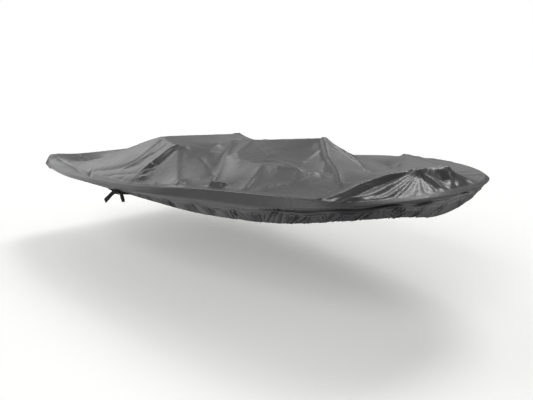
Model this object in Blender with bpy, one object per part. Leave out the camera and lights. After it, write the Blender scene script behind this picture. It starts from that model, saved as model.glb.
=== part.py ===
"""Fitted cover for a small open boat: one sewn cloth, drawn over the gunwale by a gathered hem, with one tie.

The boat is left out. X runs from the stern to the bow, Y to port and Z up, in metres. The origin is the middle
of the boat's opening, level with the lip of the gunwale amidships, under the top of the cover.
"""

import math

import bmesh
import bpy
import numpy as np
from mathutils import Matrix

# Driving dimensions.
CLOTH = 0.002  # thickness of the coated cloth
STRAP = 0.0016  # thickness of the webbing
GAP = 0.0003  # clearance between pieces
INSET = 0.020  # the top edge of the gunwale band stands this far inside its lip
SIDE_CELLS = 54  # cells along each side of the top
CROSS_CELLS = 31  # cells across the top
FINE = 4  # the top is drawn tight on a grid this much finer
ROUNDS = 9000  # rounds of drawing the top tight
SAG = 0.0000005  # how far a point of loose cloth hangs below its neighbours
PULL = 200.0  # how firmly what lies beneath holds the cloth up

# The rim, from the middle of the transom round the starboard side to the middle of the bow. The port side is
# its mirror. half: half width at the lip; lip: height of the lip; band: height of the upright band above the
# lip; deck: width of the flat gunwale under the cloth; drop and tuck: how far the hem is below and inside the
# lip; gather: how far the gathers of the hem stand in and out.
RIM_COLUMNS = ("x", "half", "lip", "band", "deck", "drop", "tuck", "gather")
RIM = (
    # name            x       half    lip     band   deck   drop   tuck   gather
    ("transom middle", -1.400, 0.000, -0.046, 0.034, 0.050, 0.024, 0.030, 0.002),
    ("transom", -1.400, 0.401, -0.046, 0.036, 0.050, 0.024, 0.030, 0.002),
    ("stern corner", -1.381, 0.622, -0.043, 0.040, 0.080, 0.024, 0.030, 0.002),
    ("quarter", -1.187, 0.712, -0.039, 0.016, 0.110, 0.020, 0.025, 0.002),
    ("aft side", -0.665, 0.800, -0.024, 0.016, 0.110, 0.006, 0.020, 0.003),
    ("tie side", -0.120, 0.782, -0.001, 0.020, 0.066, 0.024, 0.022, 0.004),
    ("middle side", 0.170, 0.755, 0.016, 0.030, 0.054, 0.048, 0.028, 0.005),
    ("fore side", 0.498, 0.710, 0.040, 0.046, 0.050, 0.077, 0.035, 0.007),
    ("shoulder", 0.926, 0.643, 0.071, 0.046, 0.040, 0.078, 0.045, 0.009),
    ("bow corner", 1.204, 0.513, 0.102, 0.018, 0.004, 0.072, 0.060, 0.010),
    ("bow", 1.373, 0.252, 0.123, 0.010, 0.004, 0.092, 0.080, 0.010),
    ("bow middle", 1.400, 0.000, 0.125, 0.010, 0.004, 0.121, 0.090, 0.010),
)
CORNERS = (2, 9)  # the rows at the ends of a side

# What holds the cloth up or draws it down, as straight runs: both ends of each run, and how sharp its edge is.
RUNS = (
    # name                 x0      y0      z0     x1      y1      z1     radius
    ("aft seat back", -0.400, -0.320, 0.197, -0.407, 0.240, 0.163, 0.011),
    ("aft seat end", -0.400, -0.320, 0.197, -0.120, -0.400, 0.188, 0.009),
    ("aft seat front", -0.120, -0.400, 0.188, -0.006, -0.280, 0.180, 0.007),
    ("aft seat nose", -0.006, -0.280, 0.180, -0.050, -0.190, 0.184, 0.007),
    ("aft seat inner", -0.050, -0.190, 0.184, -0.171, 0.000, 0.172, 0.009),
    ("aft seat far", -0.171, 0.000, 0.172, -0.407, 0.240, 0.163, 0.009),
    ("aft slope top", -0.400, -0.320, 0.197, -0.620, -0.280, 0.146, 0.011),
    ("aft slope", -0.620, -0.280, 0.146, -0.992, -0.240, 0.042, 0.011),
    ("aft corner edge", -0.120, -0.400, 0.188, -0.110, -0.577, 0.108, 0.007),
    ("aft corner foot", -0.110, -0.577, 0.108, -0.060, -0.660, 0.060, 0.007),
    ("stern hollow", -1.196, -0.450, -0.046, -1.175, -0.350, -0.041, 0.014),
    ("valley", -0.110, 0.000, 0.178, 0.095, -0.250, 0.143, 0.006),
    ("valley foot", 0.095, -0.250, 0.143, 0.487, -0.620, 0.126, 0.007),
    ("fore seat aft end", 0.005, -0.020, 0.201, 0.134, -0.060, 0.215, 0.009),
    ("fore seat back", 0.134, -0.060, 0.215, 0.527, 0.080, 0.248, 0.009),
    ("fore seat side", 0.134, -0.060, 0.215, 0.276, -0.280, 0.183, 0.009),
    ("fore seat corner", 0.276, -0.280, 0.183, 0.430, -0.380, 0.170, 0.007),
    ("fore seat front", 0.430, -0.380, 0.170, 0.801, -0.380, 0.200, 0.007),
    ("fore seat fold", 0.527, 0.080, 0.248, 0.730, -0.105, 0.190, 0.006),
    ("fore seat shin", 0.730, -0.105, 0.190, 0.891, -0.214, 0.166, 0.006),
    ("fore seat foot", 0.891, -0.214, 0.166, 1.020, -0.330, 0.143, 0.008),
    ("fore slope", 0.527, 0.080, 0.248, 0.899, 0.020, 0.136, 0.006),
    ("bow rise", 0.925, -0.030, 0.140, 1.236, -0.070, 0.200, 0.008),
    ("cleat", 1.236, -0.070, 0.200, 1.281, 0.070, 0.207, 0.006),
    ("bow ridge", 1.236, -0.070, 0.200, 1.135, -0.215, 0.170, 0.006),
    ("bow ridge foot", 1.135, -0.215, 0.170, 1.096, -0.520, 0.126, 0.006),
    ("port ridge", 0.680, 0.600, 0.122, 1.107, -0.050, 0.173, 0.007),
    ("port valley", 0.420, 0.480, 0.095, 0.760, 0.300, 0.104, 0.012),
    ("port valley foot", 0.760, 0.300, 0.104, 0.950, 0.130, 0.118, 0.010),
    ("starboard oarlock", 0.515, -0.632, 0.128, 0.560, -0.628, 0.130, 0.006),
    ("port oarlock", 0.640, 0.620, 0.122, 0.680, 0.615, 0.122, 0.006),
)

# Folds of the top, as soft ridges (height above 0) and troughs (below 0): both ends, widths and heights.
FOLDS = (
    # name                  x0      y0      x1      y1    width0 width1 height0 height1
    ("front pleat", -0.104, -0.400, 0.253, -0.640, 0.022, 0.030, 0.006, 0.014),
    ("front pleat toe", 0.253, -0.640, 0.360, -0.690, 0.030, 0.040, 0.014, 0.004),
    ("front hollow", -0.070, -0.460, 0.190, -0.650, 0.025, 0.030, -0.005, -0.008),
    ("fore pleat", 0.605, -0.420, 0.722, -0.605, 0.030, 0.035, 0.007, 0.010),
    ("fore pleat 2", 0.810, -0.490, 0.795, -0.580, 0.030, 0.035, 0.006, 0.005),
    ("quarter trough", -0.203, -0.480, -0.194, -0.640, 0.028, 0.035, -0.010, -0.012),
    ("quarter trough 2", -0.248, -0.500, -0.290, -0.620, 0.030, 0.035, -0.008, -0.012),
    ("quarter trough foot", -0.290, -0.620, -0.645, -0.655, 0.030, 0.035, -0.012, -0.006),
    ("long trough", -0.400, -0.380, -0.530, -0.590, 0.035, 0.040, -0.006, -0.010),
    ("long trough foot", -0.530, -0.590, -0.700, -0.650, 0.035, 0.035, -0.010, -0.005),
    ("bow trough", 1.200, -0.120, 1.155, -0.300, 0.022, 0.030, -0.006, -0.018),
    ("bow trough foot", 1.155, -0.300, 1.150, -0.560, 0.030, 0.030, -0.018, -0.020),
    ("bow fold", 1.232, -0.256, 1.200, -0.500, 0.022, 0.024, 0.006, 0.008),
    ("bow fold 2", 1.280, -0.265, 1.270, -0.430, 0.020, 0.022, 0.004, 0.006),
    ("bow valley", 1.285, -0.090, 1.366, -0.105, 0.020, 0.022, -0.010, -0.006),
    ("bow hollow", 1.325, -0.010, 1.335, 0.010, 0.025, 0.025, -0.012, -0.012),
)


# The tie hangs under the hem on the starboard side. Each strap runs through its rows, flat to the side of the
# boat: x and z of its middle, its width there, and y.
STRAP_COLUMNS = ("x", "z", "width", "y")
STRAPS = {
    "aft end": ((-0.262, -0.036, 0.005, -0.764), (-0.225, -0.036, 0.010, -0.766), (-0.170, -0.034, 0.016, -0.769)),
    "fore end": ((-0.100, -0.034, 0.016, -0.769), (-0.055, -0.031, 0.011, -0.767), (-0.018, -0.029, 0.004, -0.765)),
    "aft tail": ((-0.155, -0.036, 0.018, -0.771), (-0.178, -0.046, 0.025, -0.774),
                 (-0.230, -0.080, 0.025, -0.776), (-0.284, -0.111, 0.025, -0.774)),
    "fore tail": ((-0.112, -0.036, 0.016, -0.771), (-0.090, -0.045, 0.020, -0.774),
                  (-0.079, -0.057, 0.023, -0.775), (-0.073, -0.078, 0.022, -0.774)),
}
# The knot: lumps of wrapped webbing, each with its middle, its half sizes and its tilt in degrees.
KNOT = (
    # name        x       y       z       half x half y half z tilt
    ("knot", -0.135, -0.770, -0.0339, 0.044, 0.007, 0.011, 2),
    ("turn", -0.146, -0.771, -0.0344, 0.013, 0.009, 0.012, 24),
    ("turn 2", -0.118, -0.771, -0.0334, 0.012, 0.008, 0.011, -20),
)


def rim(t):
    """The rim's values at the places t round it: a smooth curve through RIM's rows and their mirror."""
    rows = np.array([row[1:] for row in RIM])
    rows[:, 1] *= -1
    port = rows[-2:0:-1].copy()
    port[:, 1] *= -1
    loop = np.concatenate([rows, port])
    i = np.floor(t).astype(int)
    f = (t - i)[:, None]
    a, b, c, d = (loop[(i + k) % len(loop)] for k in (-1, 0, 1, 2))
    curve = 2 * b + (c - a) * f + (2 * a - 5 * b + 4 * c - d) * f**2 + (3 * (b - c) + d - a) * f**3
    return dict(zip(RIM_COLUMNS, (curve / 2).T))


def even_places(start, end, cells):
    """Places round the rim from start to end, the same length of rim apart."""
    t = np.linspace(start, end, 400)
    at = rim(t)
    steps = np.hypot(np.diff(at["x"]), np.diff(at["half"]))
    along = np.concatenate([[0], np.cumsum(steps)])
    return np.interp(np.linspace(0, along[-1], cells + 1), along, t)


def places_round(side_cells, cross_cells):
    """Places of the starboard side, the bow, the port side and the transom, each from corner to corner."""
    first, last = CORNERS
    turn = 2 * (len(RIM) - 1)
    bounds = ((first, last), (last, turn - last), (turn - last, turn - first), (turn - first, turn + first))
    cells = (side_cells, cross_cells, side_cells, cross_cells)
    return [even_places(a, b, n) for (a, b), n in zip(bounds, cells)]


def outward(t):
    """Unit vectors square to the rim, pointing out of the boat."""
    ahead, behind = rim(t + 0.01), rim(t - 0.01)
    along = np.stack([ahead["x"] - behind["x"], ahead["half"] - behind["half"]], axis=1)
    along /= np.linalg.norm(along, axis=1)[:, None]
    return np.stack([along[:, 1], -along[:, 0]], axis=1)


def shoulder(t):
    """The top edge of the gunwale band, where the cloth leaves the flat gunwale."""
    at = rim(t)
    plan = np.stack([at["x"], at["half"]], axis=1) - outward(t) * INSET
    return np.column_stack([plan, at["lip"] + at["band"]])


def top_plan(side_cells, cross_cells):
    """The top's points, [along, across], from the shoulder on all four sides: a Coons patch."""
    starboard, bow, port, transom = (shoulder(t) for t in places_round(side_cells, cross_cells))
    port, transom = port[::-1], transom[::-1]
    u = np.linspace(0, 1, side_cells + 1)[:, None, None]
    v = np.linspace(0, 1, cross_cells + 1)[None, :, None]
    sides = (1 - v) * starboard[:, None] + v * port[:, None]
    ends = (1 - u) * transom[None] + u * bow[None]
    corners = (1 - u) * ((1 - v) * starboard[0] + v * port[0]) + u * ((1 - v) * starboard[-1] + v * port[-1])
    return sides + ends - corners


def along_run(x, y, run):
    """For each point, how far along a run its nearest place is, from 0 to 1, and how far away that is."""
    x0, y0, x1, y1 = run
    dx, dy = x1 - x0, y1 - y0
    share = np.clip(((x - x0) * dx + (y - y0) * dy) / (dx * dx + dy * dy), 0, 1)
    return share, np.hypot(x - x0 - share * dx, y - y0 - share * dy)


def gunwale_hold(points):
    """Where the flat gunwale holds the cloth: how firmly, and at which height."""
    t = np.concatenate([part[:-1] for part in places_round(120, 60)])
    edge, at = shoulder(t), rim(t)
    flat = points.reshape(-1, 3)
    away = np.hypot(flat[:, :1] - edge[:, 0], flat[:, 1:2] - edge[:, 1])
    near = away.argmin(axis=1)
    deep = away.min(axis=1) / at["deck"][near]
    hold = np.where(deep < 1, PULL, 0).reshape(points.shape[:2])
    return hold, edge[near, 2].reshape(points.shape[:2])


def draw_tight(points):
    """Heights of a cloth held at its edge, on the gunwale and on RUNS, each other point level with its four
    neighbours less a little sag."""
    x, y = points[..., 0], points[..., 1]
    hold, lift = gunwale_hold(points)
    lift = hold * lift
    for _, x0, y0, z0, x1, y1, z1, radius in RUNS:
        share, away = along_run(x, y, (x0, y0, x1, y1))
        firm = PULL * np.exp(-((away / radius) ** 2))
        hold = hold + firm
        lift = lift + firm * (z0 + share * (z1 - z0))
    z = points[..., 2].copy()
    for _ in range(ROUNDS):
        mean = (z[:-2, 1:-1] + z[2:, 1:-1] + z[1:-1, :-2] + z[1:-1, 2:]) / 4 - SAG
        z[1:-1, 1:-1] = (mean + lift[1:-1, 1:-1]) / (1 + hold[1:-1, 1:-1])
    return z


def folds(x, y):
    """How far FOLDS lift or lower the top: each is a soft hump across its run, fading at its ends."""
    out = np.zeros_like(x)
    for _, x0, y0, x1, y1, width0, width1, height0, height1 in FOLDS:
        share, away = along_run(x, y, (x0, y0, x1, y1))
        width = width0 + share * (width1 - width0)
        out += (height0 + share * (height1 - height0)) * np.exp(-((away / width) ** 2))
    return out


def top():
    """The top of the cover: a grid of points [along, across], and the heights at the middles of its cells."""
    fine = top_plan(SIDE_CELLS * FINE, CROSS_CELLS * FINE)
    fine[..., 2] = draw_tight(fine)
    fine[1:-1, 1:-1, 2] += folds(fine[1:-1, 1:-1, 0], fine[1:-1, 1:-1, 1])
    half = FINE // 2
    return fine[::FINE, ::FINE], fine[half::FINE, half::FINE, 2]


def top_faces(z, middles, index):
    """Two triangles for each cell of the top, parted along the diagonal that lies nearer the cell's middle."""
    a, b, c, d = index[:-1, :-1], index[1:, :-1], index[1:, 1:], index[:-1, 1:]
    flat = z.ravel()
    first = abs((flat[a] + flat[c]) / 2 - middles) <= abs((flat[b] + flat[d]) / 2 - middles)
    faces = [*zip(a[first], b[first], c[first]), *zip(a[first], c[first], d[first])]
    other = ~first
    return faces + [*zip(a[other], b[other], d[other]), *zip(b[other], c[other], d[other])]


# Rows of the skirt, each with its share of the way from the shoulder to the lip (up to 1) and on from the lip
# to the hem (1 to 2), and whether it has twice the columns.
SKIRT_ROWS = ((0.5, False), (1.0, False), (1.45, False), (1.75, True), (2.0, True))
BULGE = 0.004  # how far the band stands out between its edges


def skirt(t, way, column):
    """Points of the skirt. They go down from the shoulder to the lip, then in under it to the hem, where every
    other column stands out as a gather and those between stand in."""
    at = rim(t)
    down = np.clip(way, 0, 1)
    under = np.clip(way - 1, 0, 1)
    pleat = np.cos(math.pi * column) * (0.7 + 0.3 * np.sin(column * 0.83) * np.cos(column * 0.29))
    out = -INSET * (1 - down) ** 2 + BULGE * math.sin(math.pi * down)
    out = out - at["tuck"] * under**1.1 + at["gather"] * under**1.5 * pleat
    plan = np.stack([at["x"], at["half"]], axis=1) + outward(t) * out[:, None]
    z = at["lip"] + at["band"] * (1 - down) - at["drop"] * under
    z = z + 0.25 * at["gather"] * under**2 * np.sin(column * 1.9)
    return np.column_stack([plan, z])


def cover_mesh():
    """The outer face of the cover: vertices, and faces wound to point out."""
    grid, middles = top()
    rows, cols = grid.shape[:2]
    index = np.arange(rows * cols).reshape(rows, cols)
    faces = top_faces(grid[..., 2], middles, index)
    ring = np.concatenate([index[:-1, 0], index[-1, :-1], index[:0:-1, -1], index[0, :0:-1]])
    places = np.concatenate([part[:-1] for part in places_round(rows - 1, cols - 1)])
    turn = 2 * (len(RIM) - 1)
    twice = np.arange(2 * len(places)) / 2
    between = np.interp(twice, np.arange(len(places) + 1), np.append(places, places[0] + turn))
    points = [grid.reshape(-1, 3)]
    count = rows * cols
    for way, doubled in SKIRT_ROWS:
        t = between if doubled else places
        columns = np.arange(len(t)) * (1.0 if doubled else 2.0)
        points.append(skirt(t, way, columns))
        below = np.arange(count, count + len(t))
        count += len(t)
        after, next_below = np.roll(ring, -1), np.roll(below, -1)
        if len(ring) == len(below):
            faces += zip(ring, below, next_below, after)
        else:
            left, mid = below[::2], below[1::2]
            right = np.roll(left, -1)
            faces += [*zip(ring, left, mid), *zip(ring, mid, after), *zip(after, mid, right)]
        ring = below
    return np.concatenate(points), [tuple(int(v) for v in face) for face in faces]


def material(name, colour, roughness):
    made = bpy.data.materials.new(name)
    made.use_nodes = True
    shader = made.node_tree.nodes["Principled BSDF"]
    shader.inputs["Base Color"].default_value = (*colour, 1)
    shader.inputs["Roughness"].default_value = roughness
    shader.inputs["Metallic"].default_value = 0.0
    return made


def new_object(name, mesh, finish):
    made = bpy.data.objects.new(name, mesh)
    mesh.materials.append(finish)
    bpy.context.scene.collection.objects.link(made)
    return made


def make_cover():
    points, faces = cover_mesh()
    mesh = bpy.data.meshes.new("cover_cloth")
    mesh.from_pydata(points.tolist(), [], faces)
    cover = new_object("cover_cloth", mesh, material("coated polyester", (0.13, 0.13, 0.135), 0.5))
    wall = cover.modifiers.new("cloth", "SOLIDIFY")
    wall.thickness = CLOTH
    wall.offset = -1
    wall.use_even_offset = False
    mesh.shade_smooth()
    return cover


def strap_mesh(rows):
    """A flat strap through its rows: four corners at each row, and an end face at each end."""
    x, z, width, y = np.array(rows).T
    dx, dz = np.gradient(x), np.gradient(z)
    size = np.hypot(dx, dz)
    side = np.stack([-dz / size, np.zeros_like(x), dx / size], axis=1) * width[:, None] / 2
    middle = np.stack([x, y, z], axis=1)
    deep = np.array([0, STRAP / 2, 0])
    rings = np.stack([middle - side - deep, middle + side - deep, middle + side + deep, middle - side + deep], axis=1)
    points = rings.reshape(-1, 3)
    faces = [(0, 1, 2, 3), tuple(len(points) - 4 + k for k in (3, 2, 1, 0))]
    for i in range(0, len(points) - 4, 4):
        faces += [(i + k, i + 4 + k, i + 4 + (k + 1) % 4, i + (k + 1) % 4) for k in range(4)]
    mesh = bpy.data.meshes.new("strap")
    mesh.from_pydata(points.tolist(), [], faces)
    return mesh


def lump_mesh(half, tilt):
    """A rounded lump of wrapped webbing."""
    ball = bmesh.new()
    bmesh.ops.create_uvsphere(ball, u_segments=16, v_segments=8, radius=1)
    turn = Matrix.Rotation(math.radians(tilt), 4, "Y")
    bmesh.ops.transform(ball, matrix=turn @ Matrix.Diagonal((*half, 1)), verts=ball.verts)
    mesh = bpy.data.meshes.new("lump")
    ball.to_mesh(mesh)
    ball.free()
    return mesh


def make_tie():
    """The tie: its knot, its ends along the hem and its two free tails, all one piece of webbing."""
    webbing = material("black polyester webbing", (0.02, 0.02, 0.02), 0.8)
    parts = bpy.data.collections.new("tie parts")
    bpy.context.scene.collection.children.link(parts)
    meshes = [(name, strap_mesh(rows), (0, 0, 0)) for name, rows in STRAPS.items()]
    meshes += [(name, lump_mesh((a, b, c), tilt), (x, y, z)) for name, x, y, z, a, b, c, tilt in KNOT[1:]]
    for name, mesh, place in meshes:
        piece = bpy.data.objects.new(name, mesh)
        piece.location = place
        piece.hide_render = True
        piece.display_type = "WIRE"
        parts.objects.link(piece)
    _, x, y, z, a, b, c, tilt = KNOT[0]
    tie = new_object("webbing_tie", lump_mesh((a, b, c), tilt), webbing)
    tie.location = (x, y, z)
    joined = tie.modifiers.new("tied", "BOOLEAN")
    joined.operation = "UNION"
    joined.operand_type = "COLLECTION"
    joined.collection = parts


def main():
    for old in list(bpy.data.objects):
        bpy.data.objects.remove(old)
    make_cover()
    make_tie()


main()
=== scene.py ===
"""The dress of a fitted boat cover: its draped, creased cloth, its gathered skirt and its webbing tie.

X runs from the stern to the bow, Y to port and Z up, in metres. The origin is the middle of the boat's
opening, level with the lip of the gunwale amidships.
"""

import math

import bpy
import numpy as np
from bpy.props import FloatProperty, FloatVectorProperty, PointerProperty
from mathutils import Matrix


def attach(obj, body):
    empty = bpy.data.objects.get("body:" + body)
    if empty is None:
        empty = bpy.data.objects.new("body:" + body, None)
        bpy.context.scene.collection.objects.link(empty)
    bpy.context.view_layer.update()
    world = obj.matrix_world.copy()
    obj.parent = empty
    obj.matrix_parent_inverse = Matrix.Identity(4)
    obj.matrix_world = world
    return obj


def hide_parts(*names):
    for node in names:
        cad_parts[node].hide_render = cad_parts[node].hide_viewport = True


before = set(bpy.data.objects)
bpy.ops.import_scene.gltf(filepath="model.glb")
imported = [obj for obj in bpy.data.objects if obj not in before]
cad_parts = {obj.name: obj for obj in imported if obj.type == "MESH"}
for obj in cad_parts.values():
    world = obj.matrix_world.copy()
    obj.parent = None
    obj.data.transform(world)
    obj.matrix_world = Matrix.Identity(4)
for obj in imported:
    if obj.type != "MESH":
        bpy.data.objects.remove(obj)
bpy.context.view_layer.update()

bl_info = {
    "name": "Fitted boat cover",
    "version": (1, 0, 0),
    "blender": (4, 5, 0),
    "location": "3D View > Sidebar > Boat Cover",
    "description": "A coated cloth cover for a small open boat, with its gathered skirt and webbing tie",
    "category": "Object",
}


def linear(hex_colour):
    """An sRGB hex colour such as 6E6E70 as linear red, green, blue and alpha."""
    channels = [int(hex_colour[i : i + 2], 16) / 255 for i in (0, 2, 4)]
    return tuple(c / 12.92 if c <= 0.04045 else ((c + 0.055) / 1.055) ** 2.4 for c in channels) + (1.0,)


# ----------------------------------------------------------
# The form of the cover. The tables have the names of the solid's own, and some of their values have moved
# since, to follow the folds more closely.

INSET = 0.020  # the top edge of the gunwale band stands this far inside its lip
BULGE = 0.0005  # how far the band stands out between its edges
SIDE_CELLS = 216  # cells along the grid on which the top is drawn tight
CROSS_CELLS = 124  # cells across it
ROUNDS = 9000  # rounds of drawing the top tight
SAG = 0.0000005  # how far a point of loose cloth hangs below its neighbours
PULL = 200.0  # how firmly what lies beneath holds the cloth up
RIM_STEPS = 600  # points by which a stretch of the rim is measured
BESIDE = 0.01  # how far before and after a place on the rim its direction is read
EDGE_STEPS = (120, 60)  # points on a side and on an end of the top, by which the gunwale is found

# The rim, from the middle of the transom round the starboard side to the middle of the bow. The port side
# is its mirror. In millimetres, half: half width at the lip; lip: height of the lip; band: height of the
# upright band above the lip; deck: width of the flat gunwale under the cloth; drop and tuck: how far the hem
# is below and inside the lip; gather: how far the gathers of the hem stand in and out. round, in hundredths:
# share of the band's height by which the cloth falls already over the flat gunwale.
RIM_COLUMNS = ("x", "half", "lip", "band", "round", "deck", "drop", "tuck", "gather")
RIM = (
    # name, x, half, lip, band, round, deck, drop, tuck, gather
    ("transom middle", -1400, 0, -46, 36, 50, 50, 30, 30, 2),
    ("transom", -1400, 401, -46, 38, 50, 50, 34, 30, 2),
    ("stern corner", -1381, 622, -48, 54, 5, 40, 46, 24, 2),
    ("quarter", -1187, 712, -39, 22, 40, 110, 22, 25, 2),
    ("aft side", -665, 800, -24, 16, 15, 110, 6, 20, 6),
    ("tie side", -120, 782, -1, 20, 0, 66, 24, 22, 9),
    ("middle side", 170, 755, 16, 30, 0, 70, 48, 28, 14),
    ("fore side", 498, 710, 40, 46, 0, 50, 77, 35, 16),
    ("shoulder", 926, 643, 71, 46, 0, 40, 78, 45, 20),
    ("bow corner", 1204, 513, 102, 18, 0, 4, 72, 60, 20),
    ("bow", 1373, 252, 123, 10, 0, 4, 92, 80, 20),
    ("bow middle", 1400, 0, 125, 10, 0, 4, 121, 90, 20),
)
RIM_UNITS = (1000, 1000, 1000, 1000, 100, 1000, 1000, 1000, 1000)  # of each value to a metre or to one
CORNERS = (2, 9)  # the rows at the ends of a side
TURN = 2 * (len(RIM) - 1)  # places once round the rim

# What holds the cloth up or draws it down, as straight runs, in millimetres: both ends of each run, and how
# sharp its edge is.
RUNS = (
    # name, x0, y0, z0, x1, y1, z1, radius
    ("aft seat back", -400, -320, 197, -407, 240, 163, 11),
    ("aft seat end", -400, -320, 197, -120, -400, 188, 9),
    ("aft seat front", -120, -400, 188, -6, -280, 171, 7),
    ("aft seat nose", -6, -280, 171, -50, -190, 184, 7),
    ("aft seat inner", -50, -190, 184, -171, 0, 172, 9),
    ("aft seat far", -171, 0, 172, -407, 240, 163, 9),
    ("aft slope top", -400, -320, 197, -620, -280, 146, 11),
    ("aft slope", -620, -280, 146, -992, -240, 42, 11),
    ("aft corner edge", -120, -400, 188, -110, -577, 108, 7),
    ("aft corner foot", -110, -577, 108, -60, -660, 60, 7),
    ("stern hollow", -1196, -450, -46, -1175, -350, -41, 14),
    ("valley", -110, 0, 178, 95, -250, 155, 6),
    ("valley foot", 95, -250, 155, 455, -592, 86, 7),
    ("fore seat aft end", 5, -20, 198, 134, -60, 209, 9),
    ("fore seat back", 134, -60, 209, 527, 80, 248, 9),
    ("fore seat side", 134, -60, 209, 276, -280, 183, 9),
    ("fore seat corner", 276, -280, 183, 430, -380, 170, 7),
    ("fore seat front", 430, -380, 170, 680, -365, 180, 8),
    ("fore seat edge end", 680, -365, 180, 930, -249, 159, 10),
    ("fore seat fold", 527, 80, 248, 730, -105, 190, 6),
    ("fore seat shin", 730, -105, 190, 891, -214, 166, 6),
    ("fore seat foot", 891, -214, 166, 1020, -330, 143, 8),
    ("fore slope", 527, 80, 248, 899, 20, 136, 6),
    ("bow rise", 925, -30, 140, 1236, -70, 200, 8),
    ("cleat", 1236, -70, 200, 1281, 70, 207, 6),
    ("bow ridge", 1236, -70, 200, 1135, -215, 170, 6),
    ("bow ridge foot", 1135, -215, 168, 1100, -525, 110, 6),
    ("port ridge", 680, 600, 122, 1107, -50, 168, 7),
    ("port rail", 740, 600, 124, 980, 560, 130, 6),
    ("port valley", 420, 480, 95, 760, 300, 104, 12),
    ("port valley foot", 760, 300, 104, 950, 130, 118, 10),
    ("starboard oarlock", 515, -632, 106, 560, -628, 112, 6),
    ("port oarlock", 640, 620, 122, 680, 615, 122, 6),
)

# The main folds, in millimetres, as soft ridges (height above 0) and troughs (below 0).
FOLDS = (
    # name, x0, y0, x1, y1, width0, width1, height0, height1
    ("front pleat toe", 253, -640, 360, -690, 30, 40, 14, 4),
    ("fore pleat", 605, -420, 722, -605, 30, 35, 3, 6),
    ("fore pleat 2", 810, -490, 795, -580, 30, 35, 4, 4),
    ("bow fold", 1232, -256, 1200, -500, 22, 24, 6, 8),
    ("bow fold 2", 1280, -265, 1270, -430, 20, 22, 4, 6),
    ("bow valley", 1285, -90, 1366, -105, 20, 22, -10, -6),
    ("bow hollow", 1325, -10, 1335, 10, 25, 25, -6, -6),
)

STEPS_A_POINT = 5  # steps in which a crease's line is drawn from each of its points to the next
REACH = 4  # widths from its line at which a crease has died away

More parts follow.
